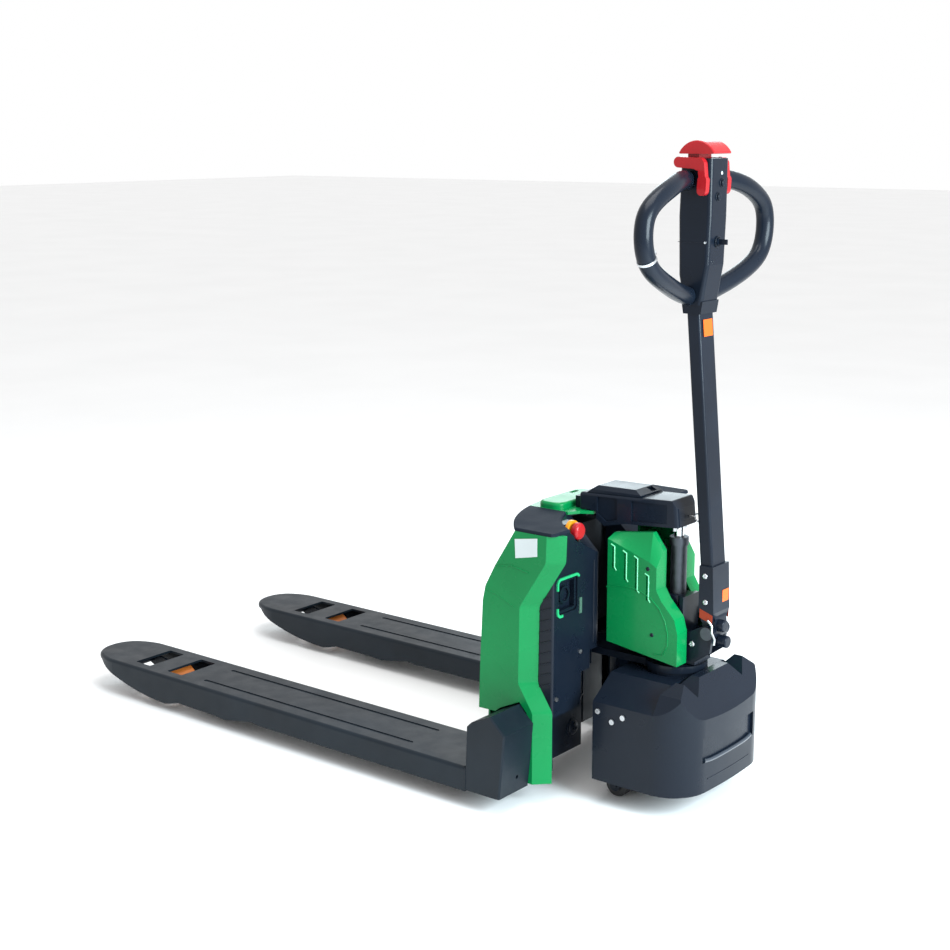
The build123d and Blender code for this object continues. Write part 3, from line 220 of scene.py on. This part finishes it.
BLUE_BLACK = (0.0050, 0.0085, 0.0155)
GREEN = (0.001, 0.175, 0.047)
MATERIALS = {
    "fork_paint": painted("fork_paint", (0.006, 0.011, 0.017), 0.42),
    "dark_paint": painted("dark_paint", BLUE_BLACK, 0.36),
    "green_cover": moulded("green_cover", GREEN, 0.28, 0.00003, 0.12),
    "black_plastic": moulded("black_plastic", BLUE_BLACK, 0.30, 0.00008, 0.1),
    "matt_black": moulded("matt_black", shade(BLUE_BLACK, 1.2), 0.75, 0.0001),
    "battery_case": moulded("battery_case", (0.03, 0.032, 0.036), 0.55, 0.0001),
    # Pale mint green: on the louvre lips it is a painted highlight, light catching the slot edges painted
    # into the colour.
    "mint_lip": moulded("mint_lip", (0.16, 0.62, 0.33), 0.3, 0.00003, 0.4),
    "gloss_black": moulded("gloss_black", (0.02, 0.03, 0.045), 0.08, 0.00001, 1.0),
    "trim_green": moulded("trim_green", (0.02, 0.34, 0.13), 0.3, 0.00003, 0.4),
    "gauge": moulded("gauge", (0.06, 0.12, 0.09), 0.2, 0.00002, 0.6),
    "yellow_plastic": moulded("yellow_plastic", (0.72, 0.26, 0.015), 0.3, 0.00003, 0.3),
    "red_plastic": moulded("red_plastic", (0.34, 0.010, 0.014), 0.34, 0.00005, 0.3),
    "orange_plate": moulded("orange_plate", (0.70, 0.11, 0.010), 0.35, 0.00003, 0.2),
    "pale_plate": moulded("pale_plate", (0.55, 0.60, 0.61), 0.4, 0.00003, 0.2),
    "dark_red": moulded("dark_red", (0.24, 0.030, 0.010), 0.45, 0.00005, 0.1),
    "steel": bare_metal("steel", (0.55, 0.56, 0.58), 0.32),
    "chrome": bare_metal("chrome", (0.75, 0.76, 0.78), 0.14, (1, 1, 0.05), 300.0, 0.00001),
    "cast_alloy": bare_metal("cast_alloy", (0.09, 0.10, 0.115), 0.5, (1, 1, 1), 90.0, 0.0003),
    "polyurethane": elastomer("polyurethane", (0.46, 0.13, 0.022), 0.42),
    "black_tyre": elastomer("black_tyre", (0.016, 0.016, 0.017), 0.6),
    "band_metal": bare_metal("band_metal", (0.62, 0.64, 0.66), 0.3),
}

slots = {entry["node"]: entry["material_slot"] for entry in frame["record"]["subparts"]}
slots.update(tiller_pin="cast_alloy", top_cap_near="matt_black", top_cap_far="matt_black")
for node, piece in NODES.items():
    piece.data.materials.clear()
    piece.data.materials.append(MATERIALS[slots[node]])


# ================= Mesh helpers =================

def finish_piece(name, shape, body, slot_name, material=None, bevel=0.0, smooth=True):
    """Turns a bmesh into a piece with a material that rides on a body."""
    mesh = bpy.data.meshes.new(name)
    bmesh.ops.recalc_face_normals(shape, faces=shape.faces)
    shape.to_mesh(mesh)
    shape.free()
    piece = bpy.data.objects.new(name, mesh)
    bpy.context.scene.collection.objects.link(piece)
    mesh.materials.append(MATERIALS[material or slot_name])
    if bevel:
        edge = piece.modifiers.new("edges", "BEVEL")
        edge.width = bevel
        edge.segments = 3
        edge.limit_method = "ANGLE"
        edge.angle_limit = radians(35)
        edge.harden_normals = True
    if smooth:
        for face in mesh.polygons:
            face.use_smooth = True
        mesh.set_sharp_from_angle(angle=radians(35))
    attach(piece, body)
    return piece


def plate(name, outline, normal, depth, body, slot_name, material=None, bevel=0.0006):
    """Flat plate: the outline's corners, pushed along the normal by the depth."""
    shape = bmesh.new()
    face = shape.faces.new([shape.verts.new(corner) for corner in outline])
    pushed = bmesh.ops.extrude_face_region(shape, geom=[face])
    moved = [item for item in pushed["geom"] if isinstance(item, bmesh.types.BMVert)]
    bmesh.ops.translate(shape, verts=moved, vec=Vector(normal) * depth)
    return finish_piece(name, shape, body, slot_name, material, bevel)


def rod(name, start, end, radius, body, slot_name, material=None, bevel=0.0006, sides=32):
    """Round bar between two points."""
    start, end = Vector(start), Vector(end)
    shape = bmesh.new()
    bmesh.ops.create_cone(shape, cap_ends=True, segments=sides, radius1=radius, radius2=radius,
                          depth=(end - start).length)
    turn = (end - start).to_track_quat("Z", "Y").to_matrix().to_4x4()
    bmesh.ops.transform(shape, matrix=Matrix.Translation((start + end) / 2) @ turn, verts=shape.verts)
    return finish_piece(name, shape, body, slot_name, material, bevel)


def screw(name, place, normal, radius, body, slot_name="steel", material=None):
    """Round-headed screw with a cross recess."""
    normal = Vector(normal)
    shape = bmesh.new()
    bmesh.ops.create_uvsphere(shape, u_segments=28, v_segments=14, radius=radius)
    bmesh.ops.bisect_plane(shape, geom=shape.verts[:] + shape.edges[:] + shape.faces[:], plane_co=(0, 0, 0),
                           plane_no=(0, 0, -1), clear_outer=True)
    bmesh.ops.scale(shape, vec=(1, 1, 0.45), verts=shape.verts)
    for vert in shape.verts:
        if min(abs(vert.co.x), abs(vert.co.y)) < radius * 0.12 and vert.co.xy.length < radius * 0.62:
            vert.co.z -= radius * 0.22
    turn = normal.to_track_quat("Z", "Y").to_matrix().to_4x4()
    bmesh.ops.transform(shape, matrix=Matrix.Translation(place) @ turn, verts=shape.verts)
    return finish_piece(name, shape, body, slot_name, material)


def wire(name, points, radius, body, slot_name, material=None, cyclic=False):
    """Round bead or bent bar through points."""
    data = bpy.data.curves.new(name, "CURVE")
    data.dimensions = "3D"
    data.bevel_depth = radius
    data.bevel_resolution = 5
    data.use_fill_caps = True
    line = data.splines.new("POLY")
    line.points.add(len(points) - 1)
    for knot, point in zip(line.points, points):
        knot.co = (*point, 1.0)
    line.use_cyclic_u = cyclic
    piece = bpy.data.objects.new(name, data)
    bpy.context.scene.collection.objects.link(piece)
    data.materials.append(MATERIALS[material or slot_name])
    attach(piece, body)
    return piece


# ================= Edges of the CAD parts =================

# Small rounds that catch the light, by node; the tyres and rollers have their own rounds already.
EDGE_ROUNDS = {
    "side_cover_near": 0.004, "side_cover_far": 0.004, "motor_cover_near": 0.0035, "motor_cover_far": 0.0035,
    "drive_cover": 0.006, "hood": 0.003, "battery_lid": 0.004, "heel_bracket_near": 0.0015,
    "heel_bracket_far": 0.0015, "rear_panel": 0.002, "tiller_head": 0.002, "tiller_tube": 0.0012,
    "top_cap_near": 0.0015, "top_cap_far": 0.0015, "throttle": 0.003, "head_frame": 0.001,
    "power_pack": 0.002, "slew_yoke": 0.001,
}
for node, width in EDGE_ROUNDS.items():
    edge = NODES[node].modifiers.new("edge_round", "BEVEL")
    edge.width = width
    edge.segments = 3
    edge.limit_method = "ANGLE"
    edge.angle_limit = radians(28)
    edge.harden_normals = True


# ================= Motor covers: recessed line, screws, louvres with painted highlight lips ===

def motor_place(x, side, z, sunk=0.0):
    """Point on a motor cover's outer face, or sunk below it."""
    return (STEER_X + x, side * (MOTOR_COVER_Y - sunk), z)


RECESS_LINE = [(-0.122, 0.418), (-0.098, 0.424), (-0.070, 0.426), (-0.043, 0.423), (-0.018, 0.412),
               (0.002, 0.394), (0.015, 0.372), (0.022, 0.347), (0.022, 0.322), (0.012, 0.303),
               (-0.008, 0.300)]
MOTOR_COVER_SCREWS = [(-0.026, 0.470), (-0.014, 0.338)]
# Each louvre's middle, its lower end and its upper end.
LOUVRES = [(-0.106, 0.458, 0.503), (-0.078, 0.439, 0.494), (-0.052, 0.421, 0.487), (-0.026, 0.406, 0.456)]
LOUVRE_BACK_SUNK = 0.0035
for name, side in SIDES.items():
    line = [motor_place(x, side, z) for x, z in RECESS_LINE]
    wire(f"motor_cover_line_{name}", line, 0.0012, "head", "green_cover")
    for count, (x, z) in enumerate(MOTOR_COVER_SCREWS):
        screw(f"motor_cover_screw_{name}_{count}", motor_place(x, side, z), (0, side, 0), 0.0042, "head",
              material="dark_paint")
for name, side in SIDES.items():
    for count, (x, low, high) in enumerate(LOUVRES):
        # Each lip is a raised bead in pale mint, paler than the cover: a painted highlight along the slot's
        # edge.
        lip = [motor_place(x - 0.006, side, high + 0.004), motor_place(x + 0.0025, side, high),
               motor_place(x + 0.0025, side, low + 0.003), motor_place(x + 0.007, side, low - 0.003)]
        wire(f"louvre_highlight_lip_{name}_{count}", lip, 0.0014, "head", "green_cover", "mint_lip")
        backing = [motor_place(x + across, side, z, LOUVRE_BACK_SUNK)
                   for across, z in [(-0.005, low - 0.002), (0.005, low - 0.002), (0.005, high + 0.002),
                                     (-0.005, high + 0.002)]]
        plate(f"louvre_back_{name}_{count}", backing, (0, -side, 0), 0.001, "head", "green_cover")


# ================= Side covers: blank plate, fold and fasteners =================

BLANK_PLATE = [(0.050, 0.536), (0.052, 0.498), (0.104, 0.509), (0.104, 0.545)]
for name, side in SIDES.items():
    face = side * SIDE_FACE_Y
    corners_xyz = [(HEEL_X + x, face, z) for x, z in BLANK_PLATE]
    plate(f"blank_plate_{name}", corners_xyz, (0, side, 0), 0.0008, "lift", "green_cover", "pale_plate",
          0.0004)
    wire(f"side_fold_{name}", [(HEEL_X + 0.004, face, 0.474), (HEEL_X + 0.040, face, 0.482),
                               (HEEL_X + 0.083, face, 0.474)], 0.0016, "lift", "green_cover")
    wire(f"side_line_{name}", [(HEEL_X - 0.020, face, 0.424), (HEEL_X + 0.010, face, 0.416),
                               (HEEL_X + 0.050, face, 0.398)], 0.0009, "lift", "green_cover")


# ================= Rear panel: ribbed side walls, round plug, ridges =================

WALL_RIBS = 11
WALL_RIB_STEP = 0.022
PLUG_AT = (HEEL_X + 0.075, 0.082, 0.108)

for name, side in SIDES.items():
    wall = side * WALL_Y
    for count in range(WALL_RIBS):
        low = 0.236 + WALL_RIB_STEP * count
        rib = [(HEEL_X + 0.090, wall, low), (HEEL_X + 0.116, wall, low + 0.010),
               (HEEL_X + 0.116, wall, low + 0.013), (HEEL_X + 0.090, wall, low + 0.003)]
        plate(f"wall_rib_{name}_{count}", rib, (0, side, 0), 0.002, "lift", "black_plastic")
    plug = Vector((PLUG_AT[0], side * PLUG_AT[1], PLUG_AT[2]))
    screw(f"panel_plug_{name}", plug, (1, 0, 0), 0.016, "lift", "black_plastic")
    rod(f"panel_plug_ring_{name}", plug - Vector((0.0005, 0, 0)), plug + Vector((0.0015, 0, 0)), 0.021,
        "lift", "black_plastic")
    ridge = [(PANEL_X + 0.0002, side * 0.080, z) for z in (0.300, 0.470)]
    wire(f"panel_ridge_{name}", ridge, 0.0014, "lift", "black_plastic")


# ================= Hood: seam, nose bolts, eye =================

for name, side in SIDES.items():
    rod(f"nose_bolt_{name}", (STEER_X + 0.001, side * 0.020, 0.540), (STEER_X + 0.001, side * 0.020, 0.558),
        0.0045, "lift", "steel", sides=6)
wire("hood_top_seam", [(HEEL_X + 0.206, -0.034, 0.6016), (HEEL_X + 0.206, 0.034, 0.6016)], 0.0007, "lift",
     "black_plastic")
EYE = (HEEL_X + 0.304, 0.010, 0.567)
EYE_R = 0.0075
EYE_SIDES = 24
eye_ring = [(EYE[0] + EYE_R * cos(2 * pi * step / EYE_SIDES), EYE[1],
             EYE[2] + EYE_R * sin(2 * pi * step / EYE_SIDES)) for step in range(EYE_SIDES)]
wire("nose_eye", eye_ring, 0.0019, "lift", "steel", cyclic=True)
rod("nose_eye_shank", (HEEL_X + 0.284, EYE[1], EYE[2]), (EYE[0] - EYE_R, EYE[1], EYE[2]), 0.0024, "lift",
    "steel")


# ================= Tiller foot: plates, knobs and spring link =================

SOCKET_FACE_X = HEEL_X + 0.3655
foot_plate = [(SOCKET_FACE_X, y, z) for y, z in [(0.004, 0.398), (0.027, 0.398), (0.027, 0.432),
                                                  (0.004, 0.432)]]
plate("foot_plate", foot_plate, (1, 0, 0), 0.0008, "tiller", "red_plastic", "orange_plate", 0.0003)
for name, side in SIDES.items():
    face = side * SOCKET_Y
    strip = [(HEEL_X + x, face, z) for x, z in [(0.3365, 0.380), (0.3365, 0.398), (0.3655, 0.388),
                                                (0.3645, 0.371)]]
    plate(f"foot_strip_{name}", strip, (0, side, 0), 0.0009, "tiller", "red_plastic", "dark_red", 0.0003)
    screw(f"socket_bolt_low_{name}", (HEEL_X + 0.348, face, 0.412), (0, side, 0), 0.0055, "tiller")
    screw(f"socket_bolt_high_{name}", (HEEL_X + 0.346, face, 0.464), (0, side, 0), 0.0055, "tiller")
    screw(f"frame_bolt_{name}", (STEER_X + 0.052, side * 0.030, 0.322), (0, side, 0), 0.006, "head")
LABEL_LOW_X = HEEL_X + 0.3206
LABEL_HIGH_X = LABEL_LOW_X - 0.0029
label = [(LABEL_LOW_X, -0.016, 0.925), (LABEL_LOW_X, 0.016, 0.925), (LABEL_HIGH_X, 0.016, 0.957),
         (LABEL_HIGH_X, -0.016, 0.957)]
plate("tube_plate", label, (1, 0, 0.09), 0.0012, "tiller", "red_plastic", "orange_plate", 0.0003)
KNOB_R = 0.012
rod("foot_knob_high", (PIVOT_X + 0.006, -0.008, 0.3645), (PIVOT_X + 0.028, -0.008, 0.3645), KNOB_R, "tiller",
    "black_plastic", bevel=0.003)
rod("foot_knob_low", (PIVOT_X + 0.012, -0.006, 0.333), (PIVOT_X + 0.034, -0.006, 0.333), KNOB_R, "tiller",
    "black_plastic", bevel=0.003)
# The link lies outside the head frame's cheeks, which the tiller's foot swings between.
LINK_Y = -0.0335
LINK_LINE = [(0.002, 0.378), (0.012, 0.368), (0.012, 0.354), (0.019, 0.342), (0.017, 0.331)]
wire("foot_spring_link", [(PIVOT_X + x, LINK_Y, z) for x, z in LINK_LINE], 0.0024, "tiller", "steel")


# ================= Tiller head: seams, button rings, marks =================

SEAM_Z = 1.102
for name, side in SIDES.items():
    seam = [(HEEL_X + x, side * 0.0321, SEAM_Z) for x in (0.2688, 0.334)]
    wire(f"head_seam_{name}", seam, 0.0006, "tiller", "black_plastic")
    screw(f"head_screw_{name}", (HEEL_X + 0.327, side * 0.032, SEAM_Z), (0, side, 0), 0.0025, "tiller")


BEZEL_SIDES = 28


def bezel(name, y, z, radius):
    """Ring round a control on the tiller head's rear face."""
    turns = [2 * pi * step / BEZEL_SIDES for step in range(BEZEL_SIDES)]
    ring = [(HEAD_FACE_X + 0.0005, y + radius * cos(turn), z + radius * sin(turn)) for turn in turns]
    return wire(name, ring, 0.0012, "tiller", "black_plastic", cyclic=True)


bezel("key_bezel", -0.002, 1.103, 0.0095)
bezel("lift_bezel", 0.007, 1.211, 0.0078)
bezel("lower_bezel", -0.006, 1.186, 0.0078)
screw("lamp", (HEAD_FACE_X - 0.0002, 0.006, 1.229), (1, 0, 0), 0.0032, "tiller", "steel", "pale_plate")
screw("face_screw", (HEAD_FACE_X - 0.0035, -0.016, 1.0665), (1, 0, 0), 0.0045, "tiller", "black_plastic")


# ================= Drive cover: moulded ledges =================

BEAD_STEPS = 24


def cover_front_x(y):
    """X of the drive cover's bulging front wall at this y."""
    return STEER_X + 0.127 - 0.010 * (y / 0.165) ** 2


def front_bead(name, z, half_width, radius, sunk, material, rise=0.0):
    """Bead along the front wall at one height, with ends that rise."""
    points = []
    for step in range(BEAD_STEPS + 1):
        y = -half_width + 2 * half_width * step / BEAD_STEPS
        points.append((cover_front_x(y) - sunk, y, z + rise * abs(y / half_width) ** 6))
    return wire(name, points, radius, "head", "black_plastic", material)


front_bead("cover_ledge", 0.1115, 0.090, 0.0040, 0.0025, "gloss_black", 0.004)
front_bead("cover_crease", 0.076, 0.080, 0.0014, 0.0006, "black_plastic")


# ================= Steelwork: weld beads and bolts =================

def weld(name, start, end, radius, body, count):
    """Row of overlapping weld scales between two points."""
    start, end = Vector(start), Vector(end)
    shape = bmesh.new()
    for step in range(count):
        place = start.lerp(end, step / (count - 1))
        ball = bmesh.ops.create_uvsphere(shape, u_segments=10, v_segments=6, radius=radius)
        bmesh.ops.translate(shape, verts=ball["verts"], vec=place)
    return finish_piece(name, shape, body, "fork_paint")


for name, side in SIDES.items():
    heel_x = HEEL_X + 0.001
    frame_x = HEEL_X - 0.050
    outer = side * 0.3415
    inner = side * 0.17804
    weld(f"heel_weld_{name}", (heel_x, side * 0.334, 0.0855), (heel_x, side * 0.192, 0.0855), 0.0024,
         "lift", 60)
    weld(f"heel_weld_side_{name}", (HEEL_X + 0.0005, outer, 0.040), (HEEL_X + 0.0005, outer, 0.082), 0.002,
         "lift", 20)
    weld(f"frame_weld_{name}", (frame_x, inner, 0.045), (frame_x, inner, 0.138), 0.0024, "lift", 40)


# ================= Floor =================

FLOOR_SIZE = 60.0
floor_mesh = bpy.data.meshes.new("floor")
half = FLOOR_SIZE / 2
floor_corners = [(-half, -half, 0), (half, -half, 0), (half, half, 0), (-half, half, 0)]
floor_mesh.from_pydata(floor_corners, [], [(0, 1, 2, 3)])
floor = bpy.data.objects.new("floor", floor_mesh)
bpy.context.scene.collection.objects.link(floor)
floor_mat, floor_tree, floor_shader, floor_place = new_material("floor")
floor_colour = ramp(floor_tree, noise(floor_tree, floor_place, 1.5), (0.88, 0.88, 0.88), (0.9, 0.9, 0.9))
floor_tree.links.new(floor_colour, floor_shader.inputs["Base Color"])
floor_shader.inputs["Roughness"].default_value = 0.75
floor_mesh.materials.append(floor_mat)
